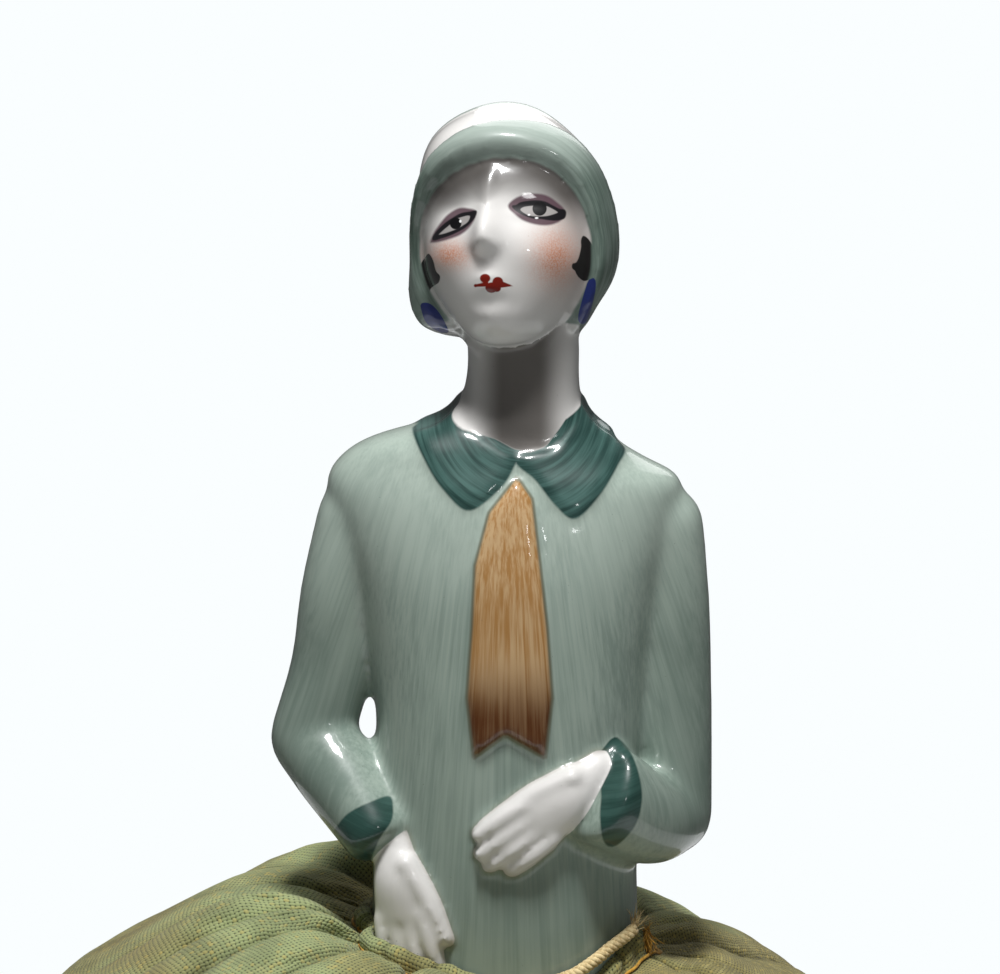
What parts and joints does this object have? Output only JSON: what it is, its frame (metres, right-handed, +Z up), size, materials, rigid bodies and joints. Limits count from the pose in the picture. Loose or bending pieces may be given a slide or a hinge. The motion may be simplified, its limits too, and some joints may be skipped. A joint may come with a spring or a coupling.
{
  "type": "pincushion doll",
  "caption": "Glazed porcelain half figure of a girl in a cloche hat, collar and tie, hands at her waist, set in the gathered neck of a round stuffed linen pincushion.",
  "frame": {"origin": "middle of the cushion's outline, on the surface that the base cloth stands on", "axes": "+Z up, -Y the way the doll's front faces, +X to the right of someone who looks at its front"},
  "size_m": [0.115, 0.112, 0.1495],
  "materials": {
    "porcelain": "clear glaze over painted white porcelain",
    "green_linen": "faded plain weave",
    "wadding": "packed cotton wadding",
    "card": "plain grey card",
    "base_linen": "plain weave",
    "beige_cord": "twisted, frayed at its end",
    "ochre_thread": "matte thread",
    "sewing_thread": "matte thread"
  },
  "bodies": {
    "root": {"half_doll": "porcelain", "cushion_cover": "green_linen", "cushion_filling": "wadding", "base_card": "card", "base_cloth": "base_linen", "waist_cord": "beige_cord", "gathering_thread": "ochre_thread", "stitch_1": "sewing_thread", "stitch_2": "sewing_thread", "stitch_3": "sewing_thread", "stitch_4": "sewing_thread"}
  },
  "joints": []
}
